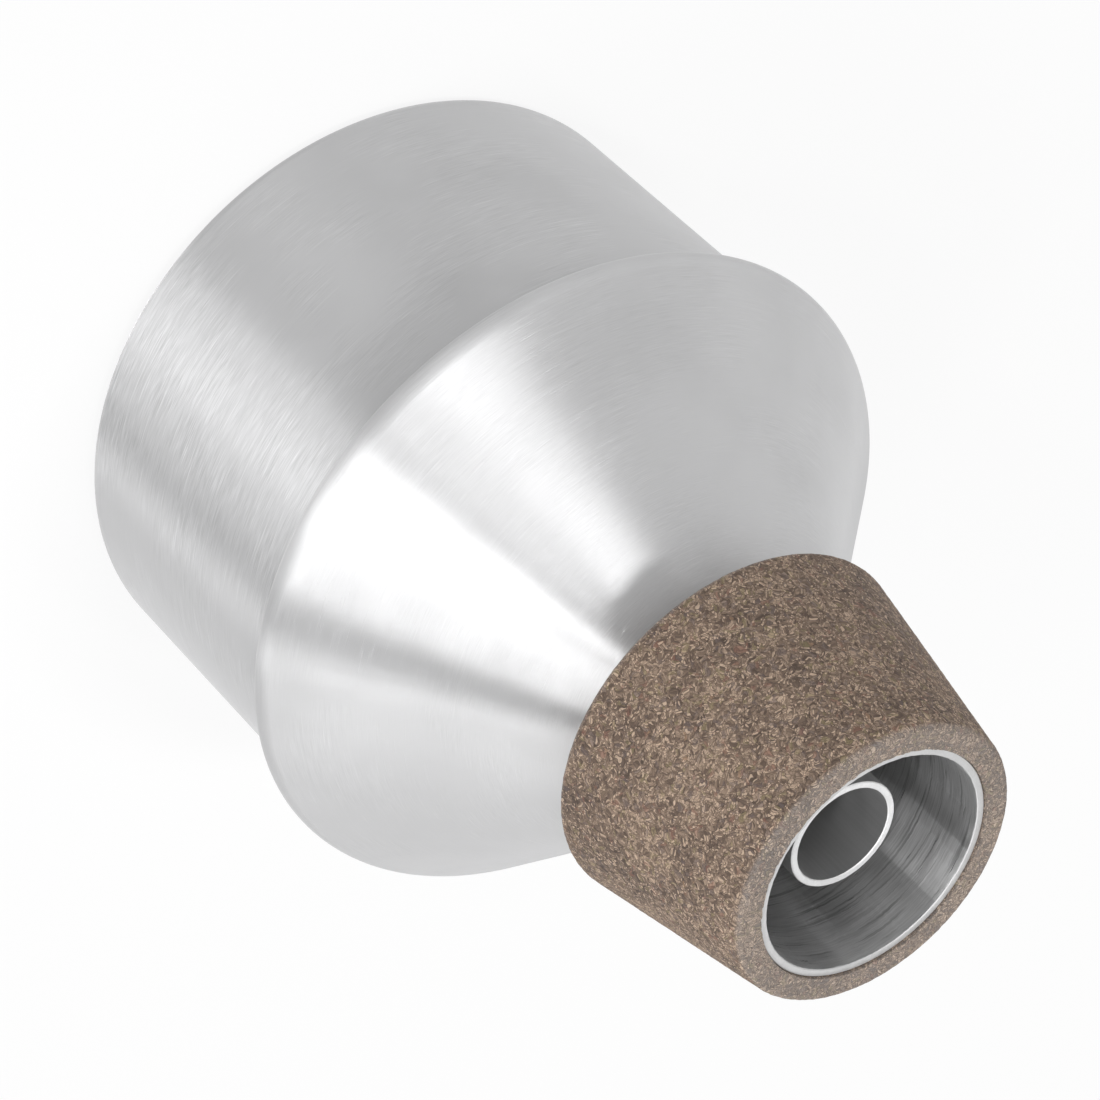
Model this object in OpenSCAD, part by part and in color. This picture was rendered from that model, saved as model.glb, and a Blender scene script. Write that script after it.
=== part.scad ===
// Practice mute for a trumpet: two spun shells hemmed together, a cork collar and an inner tube.
// Millimetres. The mute stands on its base, its mouth is up, and its axis is Z.

/* [Sheet] */
// Thickness of the spun sheet
sheet = 1.2; // [0.8:0.1:1.6]
// Clearance between pieces that fit together
fit_gap = 0.05; // [0.02:0.01:0.1]

/* [Drum] */
// Outside diameter of the drum just below the hem
drum_top_d = 102.8; // [90:0.2:110]
// Outside diameter of the drum just above the base corner
drum_base_d = 103.6; // [90:0.2:110]
// Height of the hem's fold above the resting face
hem_z = 57.8; // [40:0.1:80]
// Outside radius of the corner between wall and base
base_corner_r = 3; // [2:0.1:5]
// Width of the flat ring that the mute stands on
foot_w = 6; // [3:0.5:12]
// Height of the base's centre panel above the resting face
base_step = 1.5; // [1.2:0.1:3]
// Inside radius of the two bends in the base's step
step_bend_r = 1; // [0.6:0.1:1.2]

/* [Hem] */
// Distance from the drum's wall out to the centre of the fold
hem_reach = 2.05; // [1.8:0.05:4]
// Radius of the bend between the drum's wall and its flange
flange_bend_r = 0.8; // [0.5:0.1:1]
// Gap between the fold's cut edge and the drum's wall
lip_gap = 1.1; // [1:0.05:1.3]

/* [Cone and neck] */
// Angle between the cone's side and the axis
cone_angle = 43.6; // [36:0.2:50]
// Outside radius of the bend from the cone into the hem
shoulder_r = 3.4; // [2.6:0.1:5]
// Radius of the bend from the cone into the neck
throat_r = 7; // [4:0.5:14]
// Outside diameter of the neck
neck_d = 39; // [34:0.5:44]
// Length of the neck's straight part
neck_len = 34.2; // [24:0.05:44]

/* [Cork collar] */
// Diameter of the cork at the mouth
cork_tip_d = 47.2; // [45:0.2:52]
// Diameter of the cork at its wide end
cork_base_d = 60; // [52:0.2:66]
// How far the cork stands past the neck's rim
cork_proud = 0.55; // [0.1:0.05:1.5]
// How far the cork reaches down past the straight part of the neck
cork_drop = 0.25; // [0:0.05:0.4]
// Radius on the cork's outer edge at the mouth
cork_tip_r = 1.2; // [0.5:0.1:1.6]
// Radius on the cork's outer edge at its wide end
cork_base_r = 0.6; // [0.3:0.1:1]

/* [Inner tube] */
// Outside diameter of the inner tube
tube_d = 18; // [16:0.5:21]
// Wall of the inner tube
tube_wall = 1.1; // [0.8:0.1:1.5]
// Depth of the tube's rim below the neck's rim
tube_recess = 7.1; // [3:0.1:20]

/* [Tube socket] */
// Diameter of the socket's flange
socket_d = 27; // [25:0.5:34]
// Thickness of the socket's flange and floor
socket_floor = 2; // [1.5:0.1:3]
// Length of the spigot inside the tube
spigot_len = 10; // [6:0.5:16]
// Wall of the spigot
spigot_wall = 1.5; // [1:0.1:2]
// Radius of the rounding on the flange's rim
socket_edge_r = 0.6; // [0.3:0.1:0.7]
// Thickness of the sealing washer under the socket
washer_t = 0.8; // [0.5:0.1:1.5]

/* [Vent eyelet] */
// Bore of the hollow rivet that holds the socket and vents the tube
vent_d = 2.5; // [2:0.1:3]
// Wall of the hollow rivet
vent_wall = 0.6; // [0.4:0.05:0.8]
// Diameter of its head under the base
vent_head_d = 8; // [7:0.2:10]
// Thickness of its head
vent_head_t = 0.6; // [0.4:0.1:0.9]

/* [Damping felt] */
// Outside diameter of the felt ring on the base's panel
felt_d = 78; // [60:1:80]
// Thickness of the felt ring
felt_t = 3; // [2:0.5:6]
// Room between the felt and the socket's flange
felt_room = 0.3; // [0.1:0.05:1]

/* [Hidden] */
$fn = 128;
arc_step = 5;

metal = [0.80, 0.80, 0.81];
dull_metal = [0.66, 0.66, 0.67];
cork_brown = [0.45, 0.38, 0.32];
brass = [0.78, 0.62, 0.32];
black_rubber = [0.12, 0.12, 0.12];
grey_felt = [0.42, 0.42, 0.44];

// a bend in a sheet: centre, radius of the outer face, first and last angle,
// and whether the sheet lies outside that radius (1) or inside it (-1)
function bend(c, r, a0, a1, side) = [c, r, a0, a1, side];

// points of an arc round c from angle a0 to a1
function arc(c, r, a0, a1) =
    let (n = ceil(abs(a1 - a0) / arc_step))
    [for (i = [0:n]) c + r * [cos(a0 + (a1 - a0) * i / n), sin(a0 + (a1 - a0) * i / n)]];

// the line that one face follows round the bends, at depth t under the outer face
function face(bends, t) = [for (b = bends) each arc(b[0], b[1] + b[4] * t, b[2], b[3])];

// the same points in the other direction
function back(points) = [for (i = [len(points) - 1:-1:0]) points[i]];

// hem: the cone's edge folded round the drum's flange, under a wider bend at the shoulder
fold_in_r = sheet / 2 + fit_gap;
fold_out_r = fold_in_r + sheet;
fold = [drum_top_d / 2 + hem_reach, hem_z];
shoulder = [fold.x + fold_out_r - shoulder_r, hem_z];
flange_z = hem_z - sheet / 2;
lip_r = drum_top_d / 2 + lip_gap;

// cone: its outer face touches the shoulder's bend and the throat's
cone_out = [cos(cone_angle), sin(cone_angle)];
throat_x = neck_d / 2 + throat_r;
throat_z = (shoulder * cone_out + shoulder_r + throat_r - throat_x * cone_out.x) / cone_out.y;
rim_z = throat_z + neck_len;
mouth_z = rim_z + cork_proud;
cork_z = throat_z - cork_drop;
cone_bends = [bend([throat_x, throat_z], throat_r, 180, 180 + cone_angle, 1),
              bend(shoulder, shoulder_r, cone_angle, 0, -1),
              bend(fold, fold_out_r, -arc_step, -90, -1)];

// drum: its wall touches the flange's bend and the base corner
flange_c = [drum_top_d / 2 + flange_bend_r, flange_z - flange_bend_r];
base_c = [drum_base_d / 2 - base_corner_r, base_corner_r];
span = flange_c - base_c;
draft = atan2(span.y, span.x) - acos((base_corner_r + flange_bend_r) / norm(span));

// base: a flat ring to stand on, a step, and the raised centre panel
step_angle = 45;
step_low = [base_c.x - foot_w, sheet + step_bend_r];
slope_z = base_step - (sheet + 2 * step_bend_r) * (1 - cos(step_angle));
step_w = (sheet + 2 * step_bend_r) * sin(step_angle) + slope_z / tan(step_angle);
step_high = [step_low.x - step_w, base_step - step_bend_r];
panel_z = base_step + sheet;
drum_bends = [bend(flange_c, flange_bend_r, 90, 180 + draft, 1),
              bend(base_c, base_corner_r, draft, -90, -1),
              bend(step_low, sheet + step_bend_r, -90, -90 - step_angle, -1),
              bend(step_high, step_bend_r, 90 - step_angle, 90, 1)];

// tube and its fastening, stacked on the panel
socket_z = panel_z + washer_t;
seat_z = socket_z + socket_floor;
tube_bore_d = tube_d - 2 * tube_wall;
tube_top_z = rim_z - tube_recess;
spigot_d = tube_bore_d - 2 * fit_gap;
shank_d = vent_d + 2 * vent_wall;
rivet_hole_d = shank_d + 2 * fit_gap;

module cone_shell() {
    neck_in = neck_d / 2 - sheet;
    color(metal) rotate_extrude()
        polygon(concat([[neck_d / 2, rim_z]], face(cone_bends, 0), [[lip_r, hem_z - fold_out_r]],
                       [[lip_r, hem_z - fold_in_r]], back(face(cone_bends, sheet)),
                       [[neck_in, rim_z]]));
}

// the flange's edge is rounded to fill the fold
module drum_shell() {
    hole_r = rivet_hole_d / 2;
    color(metal) rotate_extrude()
        polygon(concat(arc(fold, sheet / 2, 90, -90), face(drum_bends, 0),
                       [[hole_r, base_step]], [[hole_r, panel_z]],
                       back(face(drum_bends, sheet))));
}

// the side is one taper, with both outer edges rounded
module cork_collar() {
    bore_r = neck_d / 2 + fit_gap;
    taper = atan((cork_base_d - cork_tip_d) / 2 / (mouth_z - cork_z));
    low = [cork_base_d / 2 - cork_base_r * tan(45 + taper / 2), cork_z + cork_base_r];
    high = [cork_tip_d / 2 - cork_tip_r * tan(45 - taper / 2), mouth_z - cork_tip_r];
    color(cork_brown) rotate_extrude()
        polygon(concat([[bore_r, cork_z]], arc(low, cork_base_r, -90, taper),
                       arc(high, cork_tip_r, taper, 90), [[bore_r, mouth_z]]));
}

// both ends are cut square and have their edges broken
module inner_tube() {
    edge = tube_wall / 5;
    out_r = tube_d / 2;
    in_r = tube_bore_d / 2;
    color(dull_metal) rotate_extrude()
        polygon([[in_r, seat_z], [out_r, seat_z],
                 [out_r, tube_top_z - edge], [out_r - edge, tube_top_z],
                 [in_r + edge, tube_top_z], [in_r, tube_top_z - edge]]);
}

// a turned flange with a hollow spigot that plugs the tube's foot
module tube_socket() {
    hole_r = rivet_hole_d / 2;
    out_r = spigot_d / 2;
    lead = spigot_wall / 2;
    top_z = seat_z + spigot_len;
    rim = [socket_d / 2 - socket_edge_r, seat_z - socket_edge_r];
    color(dull_metal) rotate_extrude()
        polygon(concat([[hole_r, socket_z], [socket_d / 2, socket_z]],
                       arc(rim, socket_edge_r, 0, 90),
                       [[out_r, seat_z], [out_r, top_z - lead], [out_r - lead, top_z],
                        [out_r - spigot_wall, top_z], [out_r - spigot_wall, seat_z],
                        [hole_r, seat_z]]));
}

module seal_washer() {
    color(black_rubber) translate([0, 0, panel_z]) difference() {
        cylinder(d = socket_d, h = washer_t);
        translate([0, 0, -1]) cylinder(d = rivet_hole_d, h = washer_t + 2);
    }
}

// a hollow rivet: a flat head outside, and its end rolled over the socket's floor inside
module vent_eyelet() {
    head_z = base_step - vent_head_t;
    roll = [shank_d / 2 + vent_wall, seat_z];
    roll_bends = [bend(roll, 2 * vent_wall, 180, 0, -1)];
    color(brass) rotate_extrude()
        polygon(concat([[vent_d / 2, head_z]], face(roll_bends, 0),
                       back(face(roll_bends, vent_wall)),
                       [[shank_d / 2, base_step], [vent_head_d / 2, base_step],
                        [vent_head_d / 2, head_z]]));
}

module damping_felt() {
    color(grey_felt) translate([0, 0, panel_z]) difference() {
        cylinder(d = felt_d, h = felt_t);
        translate([0, 0, -1]) cylinder(d = socket_d + 2 * felt_room, h = felt_t + 2);
    }
}

cone_shell();
drum_shell();
cork_collar();
inner_tube();
tube_socket();
seal_washer();
vent_eyelet();
damping_felt();
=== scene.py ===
import math

import bmesh
import bpy
from bpy.props import FloatProperty, FloatVectorProperty, PointerProperty
from mathutils import Euler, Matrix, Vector, noise


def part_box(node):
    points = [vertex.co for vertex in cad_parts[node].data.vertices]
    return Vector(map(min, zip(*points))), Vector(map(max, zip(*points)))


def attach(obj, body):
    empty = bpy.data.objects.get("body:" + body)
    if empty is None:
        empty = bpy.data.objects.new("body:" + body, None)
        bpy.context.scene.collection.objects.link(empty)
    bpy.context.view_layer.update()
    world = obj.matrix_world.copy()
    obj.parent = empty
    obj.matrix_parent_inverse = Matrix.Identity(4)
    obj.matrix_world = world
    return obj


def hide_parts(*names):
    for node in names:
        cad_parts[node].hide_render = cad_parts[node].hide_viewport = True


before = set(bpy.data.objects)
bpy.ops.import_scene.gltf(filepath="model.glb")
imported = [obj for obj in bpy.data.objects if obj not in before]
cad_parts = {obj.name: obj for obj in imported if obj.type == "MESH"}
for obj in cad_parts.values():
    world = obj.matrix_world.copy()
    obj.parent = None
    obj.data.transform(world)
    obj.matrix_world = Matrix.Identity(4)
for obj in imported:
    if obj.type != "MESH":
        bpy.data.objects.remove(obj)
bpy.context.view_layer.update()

bl_info = {
    "name": "Trumpet Practice Mute",
    "version": (1, 0, 0),
    "blender": (4, 5, 0),
    "location": "View3D > Sidebar > Mute",
    "description": "Dresses a spun practice mute with its cork collar, inner tube and studio",
    "category": "Object",
}

MM = 0.001
BODY = "root"

# how finely round shapes are divided: full turns, whose steps are made in equal sectors, and
# the degrees of one step in a bend
SECTORS = 16
SHELL_STEPS = 288
CORK_STEPS = 448
TUBE_STEPS = 160
SOCKET_STEPS = 112
SMALL_STEPS = 96
FELT_STEPS = 240
BEND_STEP = 4.0

# faces that meet at a larger angle than this show a sharp edge
SHARP_ANGLE = math.radians(28)
# how much the radius of a rim that was cut by hand varies
RIM_WOBBLE = 0.004

# the highlight on metal with lines round Z is spread across them
ROUND_LINES = {"Metallic": 1.0, "Anisotropic": 1.0, "Anisotropic Rotation": 0.25}

# the camera stands where the photograph's stood: its place in metres, its turns round X, Y and
# Z in degrees, and its lens and sensor in millimetres
CAMERA_PLACE = (0.0, -0.476954, 0.454374)
CAMERA_TURN = (-39.3599, -33.4064, 146.1618)
CAMERA_LENS = 133.889
SENSOR_WIDTH = 36.0

# lamps face a point halfway up the mute, from this many metres
LAMP_DISTANCE = 3.0
LAMP_AIM = Vector((0.0, 0.0, 0.07))

# the floor: half its width in metres, its paint, and the share of white that the camera sees
FLOOR_HALF = 3.0
FLOOR_PAINT = 0.85
FLOOR_GLOW = 0.85
# how much light the white surround gives where it isn't mirrored
SURROUND_LIGHT = 0.25

CONE_LOW, CONE_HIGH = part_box("cone_shell")
CORK_LOW, CORK_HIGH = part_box("cork_collar")
TUBE_LOW, TUBE_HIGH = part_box("inner_tube")
SOCKET_LOW, SOCKET_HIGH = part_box("tube_socket")
WASHER_LOW, WASHER_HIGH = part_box("seal_washer")
EYELET_LOW, EYELET_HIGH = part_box("vent_eyelet")
FELT_LOW, FELT_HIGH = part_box("damping_felt")


def length(name, description, default, low=0.0):
    """A length in metres that a user may change."""
    return FloatProperty(name=name, description=description, default=default, min=low,
                         precision=5, subtype="DISTANCE", unit="LENGTH")


def colour(name, description, default):
    """A surface colour that a user may change."""
    return FloatVectorProperty(name=name, description=description, default=default, size=3,
                               min=0.0, max=1.0, subtype="COLOR")


def direction(azimuth, elevation):
    """A unit vector from an azimuth, in degrees from the camera's side, and an elevation."""
    turn, rise = math.radians(azimuth), math.radians(elevation)
    return Vector((math.cos(rise) * math.sin(turn), -math.cos(rise) * math.cos(turn),
                   math.sin(rise)))


class MuteSizes(bpy.types.PropertyGroup):
    sheet: length("Sheet", "Thickness of the spun sheet", 1.2 * MM, 0.5 * MM)
    fit_gap: length("Fit gap", "Clearance between pieces that fit together", 0.05 * MM)
    cone_angle: FloatProperty(name="Cone angle", description="Angle between the cone and the axis",
                              default=math.radians(43.6), subtype="ANGLE", unit="ROTATION")
    shoulder_r: length("Shoulder bend", "Radius of the bend from the cone into the hem", 3.4 * MM)
    neck_r: length("Neck radius", "Outside radius of the neck", 19.5 * MM)
    throat_r: length("Throat bend", "Radius of the bend from the cone into the neck", 7 * MM)
    drum_r: length("Drum radius", "Outside radius of the drum below the hem", 51.4 * MM)
    flange_bend: length("Flange bend", "Radius of the bend from the drum's wall to its flange",
                        0.8 * MM)
    lip_gap: length("Lip gap", "Gap from the fold's cut edge to the drum's wall", 1.1 * MM)
    base_r: length("Base radius", "Outside radius of the drum above the base corner", 51.8 * MM)
    base_corner: length("Base corner", "Outside radius of the base corner", 3 * MM)
    foot_w: length("Foot width", "Width of the flat ring that the mute stands on", 6 * MM)
    base_step: length("Base step", "Height of the raised centre panel", 1.5 * MM)
    step_bend: length("Step bend", "Inside radius of the bends in the base's step", 1 * MM)
    cut_edge: length("Cut edge", "Width of the broken edge on the cut rims", 0.14 * MM)
    cork_tip_r: length("Cork tip", "Radius of the cork at the mouth", 23.6 * MM)
    cork_base_r: length("Cork base", "Radius of the cork at its wide end", 30 * MM)
    cork_tip_round: length("Tip rounding", "Rounding of the cork's edge at the mouth", 1.2 * MM)
    cork_base_round: length("Base rounding", "Rounding of the cork's wide edge", 0.6 * MM)
    grain: length("Cork grain", "Size of the cork's granules", 0.75 * MM)
    tube_wall: length("Tube wall", "Wall of the inner tube", 1.1 * MM)
    spigot_r: length("Spigot radius", "Outside radius of the socket's spigot", 7.85 * MM)
    spigot_wall: length("Spigot wall", "Wall of the socket's spigot", 1.5 * MM)
    socket_floor: length("Socket floor", "Thickness of the socket's flange", 2 * MM)
    hole_r: length("Rivet hole", "Radius of the hole for the hollow rivet", 1.9 * MM)
    vent_r: length("Vent radius", "Radius of the vent through the rivet", 1.25 * MM)
    vent_wall: length("Vent wall", "Wall of the hollow rivet", 0.6 * MM)
    felt_bore_r: length("Felt bore", "Radius of the hole in the felt ring", 13.8 * MM)


class MuteColours(bpy.types.PropertyGroup):
    metal: colour("Spun metal", "Brushed aluminium of the cone and drum", (0.518, 0.518, 0.523))
    inside: colour("Inside", "Unpolished inside of the spun shells", (0.60, 0.60, 0.60))
    cut_metal: colour("Cut metal", "Freshly cut rim of the neck", (0.52, 0.52, 0.52))
    cut_tube: colour("Cut tube", "Freshly cut rim of the tube", (0.70, 0.70, 0.70))
    tube: colour("Tube", "Drawn aluminium of the inner tube", (0.33, 0.33, 0.33))
    cork_dark: colour("Dark cork", "Ground between the granules", (0.062, 0.041, 0.030))
    cork_mid: colour("Cork", "Most of the granules", (0.190, 0.132, 0.095))
    cork_light: colour("Light cork", "Palest flecks", (0.56, 0.42, 0.31))
    cork_cut: colour("Cut cork", "Dusty cut end of the collar", (0.44, 0.42, 0.40))
    cork_yellow: colour("Yellow cork", "Few yellowish granules", (0.30, 0.25, 0.12))
    cork_grey: colour("Grey cork", "Few greyish granules", (0.15, 0.12, 0.12))
    cork_red: colour("Red cork", "Very few reddish granules", (0.30, 0.14, 0.10))
    rubber: colour("Rubber", "Sealing washer", (0.025, 0.025, 0.025))
    brass: colour("Brass", "Hollow rivet", (0.60, 0.42, 0.17))
    felt: colour("Felt", "Damping ring", (0.10, 0.10, 0.11))


# shader maths


class Value:
    """A node's output socket, for use in sums and products."""

    def __init__(self, finish, socket):
        self.finish = finish
        self.socket = socket

    def out(self, name):
        """Another output of the same node."""
        return Value(self.finish, self.socket.node.outputs[name])

    def math(self, operation, *others):
        """A maths node that takes this value first."""
        values = dict(enumerate((self, *others)))
        return self.finish.node("ShaderNodeMath", {"operation": operation}, values)

    def __add__(self, other):
        return self.math("ADD", other)

    __radd__ = __add__

    def __mul__(self, other):
        return self.math("MULTIPLY", other)

    __rmul__ = __mul__

    def __sub__(self, other):
        return self.math("SUBTRACT", other)

    def __rsub__(self, other):
        return self.finish.node("ShaderNodeMath", {"operation": "SUBTRACT"}, {0: other, 1: self})

    def __truediv__(self, other):
        return self.math("DIVIDE", other)

    def root(self):
        return self.math("SQRT")

    def step(self, low, high):
        """0 below low, 1 above high, and a smooth rise between them."""
        return self.finish.node("ShaderNodeMapRange", {"interpolation_type": "SMOOTHSTEP"},
                                {"Value": self, "From Min": low, "From Max": high})


class Finish:
    """The node tree of a material or of the world."""

    def __init__(self, name, kind="materials"):
        self.owner = getattr(bpy.data, kind).new(name)
        self.owner.use_nodes = True
        self.tree = self.owner.node_tree
        self.tree.nodes.clear()

    def node(self, kind, settings=None, values=None, out=0):
        """Adds a node: its settings first, then the values or links of its sockets."""
        node = self.tree.nodes.new(kind)
        for key, setting in (settings or {}).items():
            setattr(node, key, setting)
        for key, value in (values or {}).items():
            socket = node.inputs[key]
            if isinstance(value, Value):
                self.tree.links.new(value.socket, socket)
            elif hasattr(value, "__len__") and socket.type == "RGBA":
                socket.default_value = (*value, 1.0)
            else:
                socket.default_value = value
        if node.outputs:
            return Value(self, node.outputs[out])

    def mix(self, factor, first, second):
        """One colour turning into another."""
        return self.node("ShaderNodeMix", {"data_type": "RGBA"},
                         {0: factor, 6: first, 7: second}, out=2)

    def ramp(self, factor, low, centre, middle, high):
        """Three colours along a factor from 0 to 1, with the middle one at centre."""
        ramp = self.node("ShaderNodeValToRGB", None, {0: factor})
        stops = ramp.socket.node.color_ramp.elements
        stops[0].color = (*low, 1.0)
        stops[1].color = (*high, 1.0)
        stops.new(centre).color = (*middle, 1.0)
        return ramp

    def toned(self, tint, tone):
        """A colour made darker or lighter."""
        return self.node("ShaderNodeVectorMath", {"operation": "SCALE"},
                         {0: tuple(tint), "Scale": tone})

    def place(self):
        """The object's own coordinates."""
        return self.node("ShaderNodeTexCoord", out="Object")

    def mottle(self, scale, detail=2.0, place=None, out=0):
        """Soft noise, with about scale cells to the metre."""
        return self.node("ShaderNodeTexNoise", None,
                         {"Vector": place or self.place(), "Scale": scale, "Detail": detail}, out)

    def around(self):
        """A point's direction round Z, and how far along the section it lies."""
        place = self.node("ShaderNodeSeparateXYZ", None, {0: self.place()})
        x, y, z = (place.out(axis) for axis in "XYZ")
        radius = (x * x + y * y + 1e-9).root()
        ring = self.node("ShaderNodeCombineXYZ", None, {"X": x / radius, "Y": y / radius})
        return ring, z - radius

    def lines(self, ring, along, width, per_turn, seed, detail=2.0):
        """Lines that run round Z: width across, and about per_turn of them end to end."""
        spread = self.node("ShaderNodeVectorMath", {"operation": "SCALE"},
                           {0: ring, "Scale": per_turn / math.tau})
        return self.node("ShaderNodeTexNoise", {"noise_dimensions": "4D"},
                         {"Vector": spread, "W": along * (1 / width) + seed, "Scale": 1.0,
                          "Detail": detail, "Roughness": 0.55})

    def bump(self, height, strength, distance):
        """A normal from a height, of which 1 stands for distance."""
        return self.node("ShaderNodeBump", None,
                         {"Height": height, "Strength": strength, "Distance": distance})

    def surface(self, values):
        """Ends the tree with a Principled surface."""
        shader = self.node("ShaderNodeBsdfPrincipled", None, values)
        self.node("ShaderNodeOutputMaterial", None, {"Surface": shader})
        return self.owner

    def background(self, camera_level, other_level):
        """How much a background glows: for the camera, in reflections and for other light."""
        path = self.node("ShaderNodeLightPath")
        mirror = path.out("Is Glossy Ray").math("MAXIMUM", path.out("Is Transmission Ray"))
        seen = path.out("Is Camera Ray")
        return seen * camera_level + mirror + (1 - seen) * (1 - mirror) * other_level


def spun_metal(name, tint, roughness, brushing, painted_glint, side):
    """Metal brushed round its axis, with fine lines, a few scratches and faint stains. Painted
    glints: on one side, whose azimuth is in degrees from the camera's side, the lines get more
    contrast in the colour, where the lamps' highlight falls."""
    finish = Finish(name)
    ring, along = finish.around()
    fine = finish.lines(ring, along, width=0.15 * MM, per_turn=90, seed=3.1)
    broad = finish.lines(ring, along, width=0.55 * MM, per_turn=24, seed=17.7)
    scratch = finish.lines(ring, along, width=0.20 * MM, per_turn=40, seed=41.3, detail=0.0)
    scratch = scratch.step(0.66, 0.76)
    patch = finish.mottle(80.0).step(0.38, 0.62)
    stain = finish.mottle(55.0, detail=3.0).step(0.35, 0.75)
    grain = fine * 0.75 + broad * 0.25
    glint_side_mask = finish.node("ShaderNodeVectorMath", {"operation": "DOT_PRODUCT"},
                         {0: ring, 1: direction(side, 0.0)}, out="Value")
    # painted glints: the brush lines get more contrast in the colour on the side that faces the
    # lamps' highlight
    contrast = (patch * 0.9 + 0.1) * brushing + glint_side_mask.step(0.90, 0.99) * painted_glint
    tone = (grain - 0.5) * contrast + 1.0 - stain * 0.04 + scratch * contrast * 0.14
    return finish.surface({
        **ROUND_LINES,
        "Base Color": finish.toned(tint, tone),
        "Roughness": (grain - 0.5) * 0.2 + roughness + stain * 0.03,
        "Normal": finish.bump(grain + scratch * 0.7, strength=0.3, distance=0.05 * MM),
    })


def inside_metal(name, tint):
    """The unpolished inside of a spun shell, with coarse tool marks."""
    finish = Finish(name)
    ring, along = finish.around()
    fine = finish.lines(ring, along, width=0.25 * MM, per_turn=18, seed=5.9)
    marks = finish.lines(ring, along, width=0.6 * MM, per_turn=7, seed=23.4, detail=3.0)
    tone = 1.0 + (fine - 0.5) * 0.7 - marks.step(0.55, 0.64) * 0.30
    return finish.surface({
        **ROUND_LINES,
        "Base Color": finish.toned(tint, tone),
        "Roughness": 0.30 + (fine - 0.5) * 0.12,
        "Normal": finish.bump(fine * 0.5 + marks, strength=0.25, distance=0.08 * MM),
    })


def cut_metal(name, tint):
    """A freshly cut, slightly burred rim."""
    finish = Finish(name)
    speck = finish.mottle(2600.0)
    blotch = finish.mottle(420.0)
    tone = 1.0 + (speck - 0.5) * 0.22 + (blotch - 0.5) * 0.18
    return finish.surface({
        "Base Color": finish.toned(tint, tone),
        "Metallic": 0.5,
        "Roughness": 0.5 + (speck - 0.5) * 0.2,
        "Normal": finish.bump(speck + blotch, strength=0.3, distance=0.05 * MM),
    })


def drawn_metal(name, tint):
    """Drawn tube, dull and even, with faint lines along its length."""
    finish = Finish(name)
    place = finish.place()
    stretch = finish.node("ShaderNodeMapping", None,
                          {"Vector": place, "Scale": (1.0, 1.0, 0.03)})
    line = finish.mottle(2200.0, place=stretch)
    cloud = finish.mottle(120.0, place=place)
    tone = 1.0 + (line - 0.5) * 0.16 + (cloud - 0.5) * 0.10
    return finish.surface({
        "Base Color": finish.toned(tint, tone),
        "Metallic": 1.0,
        "Roughness": 0.72 + (cloud - 0.5) * 0.12,
        "Normal": finish.bump(line, strength=0.2, distance=0.03 * MM),
    })


def granulated_cork(name, colours, grain):
    """Pressed cork: pale curled chips of two sizes in a dark ground, a few of them tinted."""
    finish = Finish(name)
    place = finish.place()
    sway = finish.mottle(0.55 / grain, detail=0.0, place=place, out="Color")
    curl = finish.node("ShaderNodeVectorMath", {"operation": "MULTIPLY_ADD"},
                       {0: sway, 1: (grain * 2.2,) * 3, 2: place})

    def chips(size):
        """Three random numbers for each chip, and the distance to its edge."""
        cells = {"Vector": curl, "Scale": 1 / size, "Randomness": 1.0}
        chance = finish.node("ShaderNodeSeparateColor", None,
                             {0: finish.node("ShaderNodeTexVoronoi", None, cells, out="Color")})
        rim = finish.node("ShaderNodeTexVoronoi", {"feature": "DISTANCE_TO_EDGE"}, cells)
        return chance, rim

    large, groove = chips(grain * 0.90)
    small, crease = chips(grain * 0.54)
    cloud = finish.mottle(140.0, detail=3.0, place=place)
    shade = large * 0.25 + small * 0.55 + (cloud - 0.5) * 0.8
    brown = finish.ramp(shade, colours.cork_dark, 0.40, colours.cork_mid, colours.cork_light)
    # few chips have another tint, and some of the small ones are pale
    tint = large.out("Blue")
    yellow = tint.step(0.92, 0.94)
    grey = 1.0 - tint.step(0.10, 0.12)
    red = large.out("Green").step(0.95, 0.96)
    pale = small.out("Green").step(0.74, 0.82) * crease.step(0.05, 0.16)
    # both ends of the collar look cut, up to a millimetre from their faces
    half = (CORK_HIGH.z - CORK_LOW.z) / 2
    height = finish.node("ShaderNodeSeparateXYZ", None, {0: place}).out("Z")
    from_middle = (height - (CORK_LOW.z + half)).math("ABSOLUTE")
    cut = from_middle.step(half - 1.0 * MM, half - 0.2 * MM)
    seam = (1.0 - crease.step(0.0, 0.12)) * 0.6 + (1.0 - groove.step(0.0, 0.05)) * 0.3
    for share, over in ((yellow * 0.40, colours.cork_yellow),
                        (grey * 0.40, colours.cork_grey),
                        (red * 0.40, colours.cork_red),
                        (pale * 0.75, colours.cork_light),
                        (cut * 0.30, colours.cork_cut),
                        (seam, colours.cork_dark)):
        brown = finish.mix(share, brown, tuple(over))
    relief = crease.step(0.0, 0.22) * 0.6 + groove.step(0.0, 0.2) * 0.4 + small * 0.5
    return finish.surface({
        "Base Color": brown,
        "Roughness": 0.82 + (cloud - 0.5) * 0.3,
        "Normal": finish.bump(relief, strength=0.7, distance=0.10 * MM),
    })


def plain_finish(name, tint, metallic, roughness, scale, contrast, height):
    """A small part's finish: one tone, with grain at one scale."""
    finish = Finish(name)
    grain = finish.mottle(scale, detail=4.0)
    return finish.surface({
        "Base Color": finish.toned(tint, 1.0 + (grain - 0.5) * contrast),
        "Metallic": metallic,
        "Roughness": roughness + (grain - 0.5) * 0.15,
        "Normal": finish.bump(grain, strength=0.4, distance=height),
    })


# turned shapes


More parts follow.
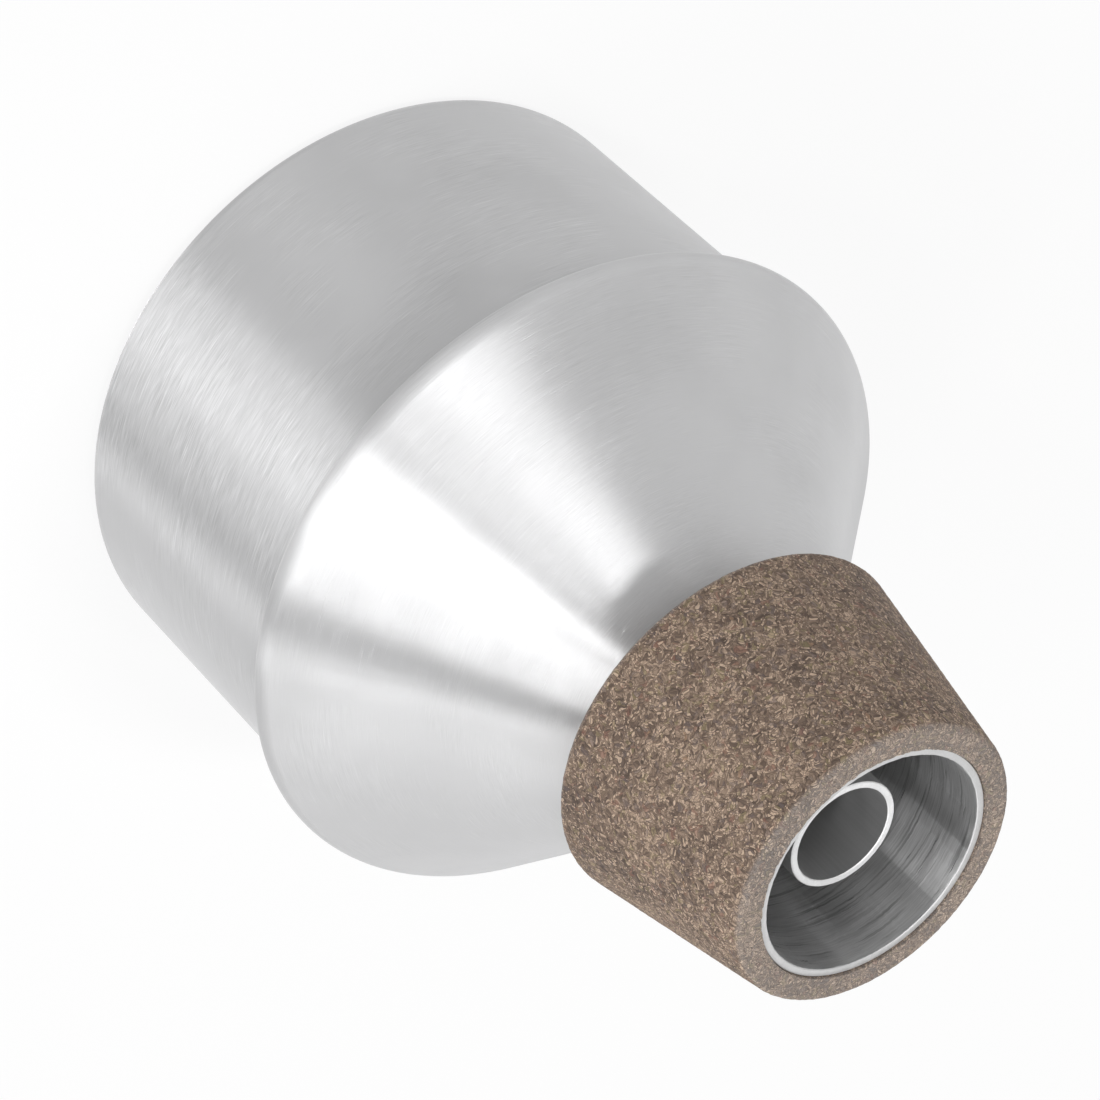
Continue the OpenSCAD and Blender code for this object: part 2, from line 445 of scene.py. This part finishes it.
def section(shape, start, *moves):
    """Draws a closed outline in the XZ plane. A move is a point to draw to, or the centre of
    a turn and its angle in degrees, anticlockwise with X to the right."""
    first = end = shape.verts.new((start[0], 0, start[1]))
    for x, z, *turn in moves:
        if turn:
            steps = max(2, math.ceil(abs(turn[0]) / BEND_STEP))
            made = bmesh.ops.spin(shape, geom=[end], cent=(x, 0, z), axis=(0, -1, 0),
                                  angle=math.radians(turn[0]), steps=steps, use_merge=False)
            end = next(g for g in made["geom_last"] if isinstance(g, bmesh.types.BMVert))
        else:
            made = bmesh.ops.extrude_vert_indiv(shape, verts=[end])
            end = made["verts"][0]
            end.co = (x, 0, z)
    shape.edges.new((end, first))


def divide(shape, pitch):
    """Divides the long edges of an outline into pieces of about pitch, but not its bore."""
    bore = min(vert.co.x for vert in shape.verts)
    for edge in shape.edges[:]:
        cuts = int(edge.calc_length() / pitch)
        if cuts and max(vert.co.x for vert in edge.verts) > 1.001 * bore:
            bmesh.ops.subdivide_edges(shape, edges=[edge], cuts=cuts)


def revolve(shape, steps):
    """Turns an outline once round Z into a closed shape: one sector, then copies of it."""
    sector = math.tau / SECTORS
    bmesh.ops.spin(shape, geom=shape.verts[:] + shape.edges[:], cent=(0, 0, 0), axis=(0, 0, 1),
                   angle=sector, steps=steps // SECTORS, use_merge=False)
    bmesh.ops.spin(shape, geom=shape.verts[:] + shape.edges[:] + shape.faces[:],
                   cent=(0, 0, 0), axis=(0, 0, 1), angle=sector * (SECTORS - 1),
                   steps=SECTORS - 1, use_merge=False, use_duplicate=True)
    bmesh.ops.remove_doubles(shape, verts=shape.verts, dist=1e-7)
    bmesh.ops.recalc_face_normals(shape, faces=shape.faces)


def place_piece(shape, name, node, slot, *materials):
    """Makes a mesh object of a shape, in the place of a CAD node."""
    for face in shape.faces:
        face.smooth = True
    for edge in shape.edges:
        edge.smooth = edge.calc_face_angle(0.0) < SHARP_ANGLE
    mesh = bpy.data.meshes.new(name)
    shape.to_mesh(mesh)
    shape.free()
    for material in materials:
        mesh.materials.append(material)
    piece = bpy.data.objects.new(name, mesh)
    bpy.context.scene.collection.objects.link(piece)
    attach(piece, BODY)
    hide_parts(node)
    return piece


def hem(sizes):
    """The fold's centre and its inside and outside radii."""
    inside = sizes.sheet / 2 + sizes.fit_gap
    outside = inside + sizes.sheet
    return Vector((CONE_HIGH.x - outside, CONE_LOW.z + outside)), inside, outside


class MUTE_OT_cone_shell(bpy.types.Operator):
    """Spin the cone with its neck and the fold of its hem"""

    bl_idname = "mute.cone_shell"
    bl_label = "Cone shell"

    def execute(self, context):
        sizes, colours = context.scene.mute_sizes, context.scene.mute_colours
        fold, inside, outside = hem(sizes)
        bend = sizes.shoulder_r
        shoulder = fold - Vector((bend - outside, 0))
        turn = math.degrees(sizes.cone_angle)
        out = Vector((math.cos(sizes.cone_angle), math.sin(sizes.cone_angle)))
        rim, edge, sheet = CONE_HIGH.z, sizes.cut_edge, sizes.sheet
        # the cone's side, square to out, touches the shoulder's bend and the throat's
        throat_x = sizes.neck_r + sizes.throat_r
        reach = shoulder.dot(out) + bend + sizes.throat_r
        throat = Vector((throat_x, (reach - throat_x * out.x) / out.y))
        neck_in = sizes.neck_r - sheet
        lip = sizes.drum_r + sizes.lip_gap
        shape = bmesh.new()
        # down the outside from the mouth, round the fold to its lip, and back up the inside
        section(shape, (sizes.neck_r - edge, rim),
                (sizes.neck_r, rim - edge),
                (sizes.neck_r, throat.y),
                (*throat, turn),
                tuple(shoulder + bend * out),
                (*shoulder, -turn),
                (*fold, -90),
                (lip, fold.y - outside),
                (lip, fold.y - inside),
                (fold.x, fold.y - inside),
                (*fold, 90),
                (*shoulder, turn),
                tuple(throat - (sizes.throat_r + sheet) * out),
                (*throat, -turn),
                (neck_in, rim - edge),
                (neck_in + edge, rim))
        revolve(shape, SHELL_STEPS)
        for face in shape.faces:
            middle = face.calc_center_median()
            if middle.z > rim - edge:
                face.material_index = 1
            elif face.normal.xy.dot(middle.xy) < 0 and middle.z > fold.y:
                face.material_index = 2
        # the neck's inner edge is cut by hand and isn't quite even
        near = 1.5 * edge
        for vert in shape.verts:
            radius = vert.co.xy.length
            if vert.co.z > rim - near and radius < neck_in + near:
                around = Vector((vert.co.x, vert.co.y, 0)) / radius
                nick = noise.noise(around * 9) * 0.5 + noise.noise(around * 31)
                vert.co.xy *= 1 + RIM_WOBBLE * nick
        # the cone's painted glints are on the side at -15 degrees, where the lamps' highlight
        # falls
        place_piece(shape, "cone_and_neck", "cone_shell", "spun_aluminium",
                    spun_metal("spun aluminium, cone", colours.metal, roughness=0.37,
                               brushing=0.42, painted_glint=0.20, side=-15),
                    cut_metal("cut rim, neck", colours.cut_metal),
                    inside_metal("spun aluminium, inside", colours.inside))
        return {"FINISHED"}


class MUTE_OT_drum_shell(bpy.types.Operator):
    """Spin the drum with its flange, its base corner and its raised centre panel"""

    bl_idname = "mute.drum_shell"
    bl_label = "Drum shell"

    def execute(self, context):
        sizes, colours = context.scene.mute_sizes, context.scene.mute_colours
        fold, _, _ = hem(sizes)
        sheet, bend, corner = sizes.sheet, sizes.flange_bend, sizes.base_corner
        flange = fold.y - sheet / 2
        top = Vector((sizes.drum_r + bend, flange - bend))
        low = Vector((sizes.base_r - corner, corner))
        # the wall, square to this direction, touches the flange's bend and the base corner
        span = top - low
        draft = math.atan2(span.y, span.x) - math.acos((corner + bend) / span.length)
        wall = Vector((math.cos(draft), math.sin(draft)))
        lean = math.degrees(draft)
        # the base's step is a slope of 45 degrees between two bends
        tilt = math.sqrt(0.5)
        diagonal = Vector((tilt, tilt))
        both = sheet + 2 * sizes.step_bend
        slope = sizes.base_step - both * (1 - tilt)
        outer = Vector((low.x - sizes.foot_w, sheet + sizes.step_bend))
        inner = Vector((outer.x - both * tilt - slope, sizes.base_step - sizes.step_bend))
        panel = sizes.base_step + sheet
        shape = bmesh.new()
        # from the flange down the outside to the rivet's hole, and back up the inside
        section(shape, (top.x, flange),
                (*top, 90 + lean),
                tuple(low + corner * wall),
                (*low, -90 - lean),
                (outer.x, 0.0),
                (*outer, -45),
                tuple(inner + sizes.step_bend * diagonal),
                (*inner, 45),
                (sizes.hole_r, sizes.base_step),
                (sizes.hole_r, panel),
                (inner.x, panel),
                (*inner, -45),
                tuple(outer - sizes.step_bend * diagonal),
                (*outer, 45),
                (low.x, sheet),
                (*low, 90 + lean),
                tuple(top - (bend + sheet) * wall),
                (*top, -90 - lean),
                (fold.x, flange + sheet),
                (*fold, -180))
        revolve(shape, SHELL_STEPS)
        for face in shape.faces:
            middle = face.calc_center_median()
            over_base = middle.xy.length < low.x and middle.z > sheet / 2
            if face.normal.xy.dot(middle.xy) < 0 or (over_base and face.normal.z > 0.5):
                face.material_index = 1
        # the drum's painted glints are on the side at 27 degrees, where the lamps' highlight falls
        place_piece(shape, "drum_and_base", "drum_shell", "spun_aluminium",
                    spun_metal("spun aluminium, drum", colours.metal, roughness=0.42,
                               brushing=0.60, painted_glint=0.70, side=27),
                    inside_metal("spun aluminium, drum inside", colours.inside))
        return {"FINISHED"}


class MUTE_OT_cork_collar(bpy.types.Operator):
    """Turn the tapered cork collar, with a granular skin and a ragged inner edge"""

    bl_idname = "mute.cork_collar"
    bl_label = "Cork collar"

    def execute(self, context):
        sizes, colours = context.scene.mute_sizes, context.scene.mute_colours
        low, high = CORK_LOW.z, CORK_HIGH.z
        bore = sizes.neck_r + sizes.fit_gap
        taper = math.atan((sizes.cork_base_r - sizes.cork_tip_r) / (high - low))
        half = taper / 2
        wide, tip = sizes.cork_base_round, sizes.cork_tip_round
        base = Vector((sizes.cork_base_r - wide * math.tan(math.pi / 4 + half), low + wide))
        mouth = Vector((sizes.cork_tip_r - tip * math.tan(math.pi / 4 - half), high - tip))
        side = Vector((math.cos(taper), math.sin(taper)))
        lean = math.degrees(taper)
        shape = bmesh.new()
        section(shape, (bore, low),
                (base.x, low),
                (*base, 90 + lean),
                tuple(mouth + tip * side),
                (*mouth, 90 - lean),
                (bore, high))
        divide(shape, 0.5 * sizes.grain)
        revolve(shape, CORK_STEPS)
        shape.normal_update()
        bore_band, torn_band = 0.2 * MM, 0.4 * MM
        lump_depth, tear_depth = 0.05 * MM, 0.16 * MM
        for vert in shape.verts:
            radius = vert.co.xy.length
            spot = vert.co / sizes.grain
            if radius > bore + bore_band:
                lump = noise.noise(spot * 0.9) + 0.6 * noise.noise(spot * 2.1)
                vert.co -= vert.normal * lump_depth * (1 + lump)
            elif vert.co.z > high - torn_band:
                tear = noise.noise(spot * 0.5) + noise.noise(spot * 1.3)
                vert.co.z -= tear_depth * max(0.0, 0.6 + tear)
        place_piece(shape, "cork_sleeve", "cork_collar", "cork",
                    granulated_cork("granulated cork", colours, sizes.grain))
        return {"FINISHED"}


class MUTE_OT_inner_tube(bpy.types.Operator):
    """Turn the inner tube with its bright cut rim"""

    bl_idname = "mute.inner_tube"
    bl_label = "Inner tube"

    def execute(self, context):
        sizes, colours = context.scene.mute_sizes, context.scene.mute_colours
        outer, edge = TUBE_HIGH.x, sizes.cut_edge
        inner = outer - sizes.tube_wall
        foot, rim = TUBE_LOW.z, TUBE_HIGH.z
        shape = bmesh.new()
        section(shape, (inner, foot), (outer, foot), (outer, rim - edge), (outer - edge, rim),
                (inner + edge, rim), (inner, rim - edge))
        revolve(shape, TUBE_STEPS)
        for face in shape.faces:
            if face.calc_center_median().z > rim - edge:
                face.material_index = 1
        for vert in shape.verts:
            if vert.co.z > rim - 1.5 * edge:
                around = Vector((vert.co.x, vert.co.y, 0)).normalized()
                vert.co.xy *= 1 + RIM_WOBBLE * noise.noise(around * 14)
        place_piece(shape, "air_tube", "inner_tube", "tube_aluminium",
                    drawn_metal("drawn aluminium, tube", colours.tube),
                    cut_metal("cut rim, tube", colours.cut_tube))
        return {"FINISHED"}


class MUTE_OT_tube_foot(bpy.types.Operator):
    """Turn the tube's socket, its sealing washer and the hollow rivet"""

    bl_idname = "mute.tube_foot"
    bl_label = "Tube foot"

    def execute(self, context):
        sizes, colours = context.scene.mute_sizes, context.scene.mute_colours
        seat = SOCKET_LOW.z + sizes.socket_floor
        self.socket(sizes, colours, seat)
        self.washer(sizes, colours)
        self.rivet(sizes, colours, seat)
        return {"FINISHED"}

    def socket(self, sizes, colours, seat):
        """The flange on the base, and the spigot inside the tube."""
        flange, floor, top = SOCKET_HIGH.x, SOCKET_LOW.z, SOCKET_HIGH.z
        spigot, wall, round_r = sizes.spigot_r, sizes.spigot_wall, 0.6 * MM
        shape = bmesh.new()
        section(shape, (sizes.hole_r, floor),
                (flange, floor),
                (flange, seat - round_r),
                (flange - round_r, seat - round_r, 90),
                (spigot, seat),
                (spigot, top - wall / 2),
                (spigot - wall / 2, top),
                (spigot - wall, top),
                (spigot - wall, seat),
                (sizes.hole_r, seat))
        revolve(shape, SOCKET_STEPS)
        place_piece(shape, "socket_flange", "tube_socket", "tube_aluminium",
                    plain_finish("turned aluminium", colours.tube, metallic=1.0, roughness=0.4,
                                 scale=900.0, contrast=0.15, height=0.02 * MM))

    def washer(self, sizes, colours):
        """The rubber ring between the socket and the base, a little squeezed out."""
        bulge = 0.08 * MM
        shape = bmesh.new()
        section(shape, (sizes.hole_r, WASHER_LOW.z),
                (WASHER_HIGH.x - bulge, WASHER_LOW.z),
                (WASHER_HIGH.x, WASHER_LOW.z + bulge),
                (WASHER_HIGH.x, WASHER_HIGH.z - bulge),
                (WASHER_HIGH.x - bulge, WASHER_HIGH.z),
                (sizes.hole_r, WASHER_HIGH.z))
        revolve(shape, SMALL_STEPS)
        place_piece(shape, "rubber_washer", "seal_washer", "rubber",
                    plain_finish("black rubber", colours.rubber, metallic=0.0, roughness=0.7,
                                 scale=1800.0, contrast=0.3, height=0.03 * MM))

    def rivet(self, sizes, colours, seat):
        """The hollow rivet, with its head under the base and its rolled end on the socket."""
        vent, head, low = sizes.vent_r, EYELET_HIGH.x, EYELET_LOW.z
        shank, roll = vent + sizes.vent_wall, vent + 2 * sizes.vent_wall
        under, soft = sizes.base_step, 0.15 * MM
        shape = bmesh.new()
        section(shape, (vent + soft, low),
                (vent, low + soft),
                (vent, seat),
                (roll, seat, -180),
                (roll + sizes.vent_wall, seat),
                (roll, seat, 180),
                (shank, under),
                (head, under),
                (head, low + soft),
                (head - soft, low + soft, -90))
        revolve(shape, SMALL_STEPS)
        place_piece(shape, "hollow_rivet", "vent_eyelet", "brass",
                    plain_finish("worn brass", colours.brass, metallic=1.0, roughness=0.34,
                                 scale=1500.0, contrast=0.25, height=0.02 * MM))


class MUTE_OT_damping_felt(bpy.types.Operator):
    """Cut the felt ring, with soft edges and a fibrous face"""

    bl_idname = "mute.damping_felt"
    bl_label = "Damping felt"

    def execute(self, context):
        sizes, colours = context.scene.mute_sizes, context.scene.mute_colours
        soft = 0.7 * MM
        shape = bmesh.new()
        section(shape, (sizes.felt_bore_r, FELT_LOW.z),
                (FELT_HIGH.x, FELT_LOW.z),
                (FELT_HIGH.x, FELT_HIGH.z - soft),
                (FELT_HIGH.x - soft, FELT_HIGH.z - soft, 90),
                (sizes.felt_bore_r + soft, FELT_HIGH.z),
                (sizes.felt_bore_r + soft, FELT_HIGH.z - soft, 90))
        divide(shape, 1.2 * MM)
        revolve(shape, FELT_STEPS)
        shape.normal_update()
        glued_band, tuft_size, wave_size, depth = 0.3 * MM, 1.1 * MM, 6 * MM, 0.09 * MM
        for vert in shape.verts:
            if vert.co.z > FELT_LOW.z + glued_band:
                tuft = noise.noise(vert.co / tuft_size) + noise.noise(vert.co / wave_size)
                vert.co -= vert.normal * depth * (1 + tuft)
        pad = place_piece(shape, "felt_ring", "damping_felt", "felt",
                          plain_finish("grey felt", colours.felt, metallic=0.0, roughness=0.95,
                                       scale=700.0, contrast=0.9, height=0.25 * MM))
        return {"FINISHED"}


# studio


def soft_box(name, azimuth, elevation, width, height, glow):
    """A soft lamp that faces the mute. Its azimuth is in degrees from the camera's side, and
    its glow is its brightness, where the white surround has 1."""
    away = direction(azimuth, elevation)
    data = bpy.data.lights.new(name, "AREA")
    data.shape = "RECTANGLE"
    data.size, data.size_y, data.energy = width, height, glow * math.pi * width * height
    lamp = bpy.data.objects.new(name, data)
    lamp.location = LAMP_AIM + away * LAMP_DISTANCE
    lamp.rotation_euler = away.to_track_quat("Z", "Y").to_euler()
    bpy.context.scene.collection.objects.link(lamp)


class MUTE_OT_studio(bpy.types.Operator):
    """Set the floor, the lamps, the world and the camera"""

    bl_idname = "mute.studio"
    bl_label = "Studio"

    def execute(self, context):
        scene = context.scene
        scene.view_settings.view_transform = "Standard"
        self.floor()
        self.world(scene)
        self.lamps()
        self.camera(scene)
        return {"FINISHED"}

    def lamps(self):
        """Lamps that draw the photograph's bands of light on the metal, with sizes in metres."""
        # strips for the narrow highlights down the metal
        soft_box("key strip", azimuth=45.6, elevation=34.7, width=1.83, height=0.15, glow=35.10)
        soft_box("upright strip", azimuth=20.1, elevation=36.5, width=0.25, height=0.51,
                 glow=28.94)
        # long, dim lamps for the broad tones at both sides
        soft_box("side box", azimuth=126.7, elevation=34.3, width=4.46, height=0.23, glow=7.96)
        soft_box("back strip", azimuth=-78.5, elevation=4.0, width=4.51, height=0.15, glow=4.30)
        soft_box("far strip", azimuth=-136.0, elevation=4.0, width=2.30, height=0.15, glow=2.80)
        # lamps overhead for the cork and the cone, and low ones for the drum
        soft_box("high box", azimuth=-47.7, elevation=75.0, width=1.04, height=0.36, glow=23.28)
        soft_box("top box", azimuth=7.1, elevation=86.0, width=0.15, height=2.57, glow=11.65)
        soft_box("low box", azimuth=78.5, elevation=4.0, width=0.57, height=0.26, glow=10.96)
        soft_box("front box", azimuth=34.5, elevation=4.1, width=0.93, height=0.73, glow=4.34)

    def camera(self, scene):
        """The camera, at the photograph's viewing angle."""
        camera = bpy.data.cameras.new("camera")
        camera.lens, camera.sensor_width = CAMERA_LENS, SENSOR_WIDTH
        view = bpy.data.objects.new("camera", camera)
        view.location = CAMERA_PLACE
        view.rotation_euler = Euler([math.radians(angle) for angle in CAMERA_TURN])
        scene.collection.objects.link(view)
        scene.camera = view

    def floor(self):
        """A pale floor that keeps the mute's shadow and looks white to the camera."""
        shape = bmesh.new()
        bmesh.ops.create_grid(shape, x_segments=8, y_segments=8, size=FLOOR_HALF)
        mesh = bpy.data.meshes.new("floor")
        shape.to_mesh(mesh)
        shape.free()
        floor = bpy.data.objects.new("floor", mesh)
        finish = Finish("pale floor")
        paint = finish.node("ShaderNodeBsdfDiffuse", None, {"Color": (FLOOR_PAINT,) * 3})
        glow = finish.node("ShaderNodeEmission", None, {"Color": (1.0, 1.0, 1.0)})
        blend = finish.node("ShaderNodeMixShader", None,
                            {0: finish.background(FLOOR_GLOW, 0.0), 1: paint, 2: glow})
        finish.node("ShaderNodeOutputMaterial", None, {"Surface": blend})
        mesh.materials.append(finish.owner)
        bpy.context.scene.collection.objects.link(floor)

    def world(self, scene):
        """A surround that is white to the camera and in reflections, and dim as other light."""
        finish = Finish("white surround", "worlds")
        glow = finish.background(1.0, SURROUND_LIGHT)
        white = finish.node("ShaderNodeBackground", None,
                            {"Color": (1.0, 1.0, 1.0), "Strength": glow})
        finish.node("ShaderNodeOutputWorld", None, {"Surface": white})
        scene.world = finish.owner


OPERATORS = (MUTE_OT_cone_shell, MUTE_OT_drum_shell, MUTE_OT_cork_collar, MUTE_OT_inner_tube,
             MUTE_OT_tube_foot, MUTE_OT_damping_felt, MUTE_OT_studio)


class MUTE_PT_panel(bpy.types.Panel):
    """Sizes, colours and a button for each operator, in the order they run"""

    bl_idname = "MUTE_PT_panel"
    bl_label = "Practice mute"
    bl_space_type = "VIEW_3D"
    bl_region_type = "UI"
    bl_category = "Mute"

    def draw(self, context):
        for group in (context.scene.mute_sizes, context.scene.mute_colours):
            for name in group.bl_rna.properties.keys():
                if name not in ("rna_type", "name"):
                    self.layout.prop(group, name)
        for operator in OPERATORS:
            self.layout.operator(operator.bl_idname)


CLASSES = (MuteSizes, MuteColours, *OPERATORS, MUTE_PT_panel)


def register():
    for item in CLASSES:
        bpy.utils.register_class(item)
    bpy.types.Scene.mute_sizes = PointerProperty(type=MuteSizes)
    bpy.types.Scene.mute_colours = PointerProperty(type=MuteColours)


def unregister():
    del bpy.types.Scene.mute_colours
    del bpy.types.Scene.mute_sizes
    for item in reversed(CLASSES):
        bpy.utils.unregister_class(item)


def main():
    register()
    bpy.ops.mute.cone_shell()
    bpy.ops.mute.drum_shell()
    bpy.ops.mute.cork_collar()
    bpy.ops.mute.inner_tube()
    bpy.ops.mute.tube_foot()
    bpy.ops.mute.damping_felt()
    bpy.ops.mute.studio()


if __name__ == "__main__":
    main()
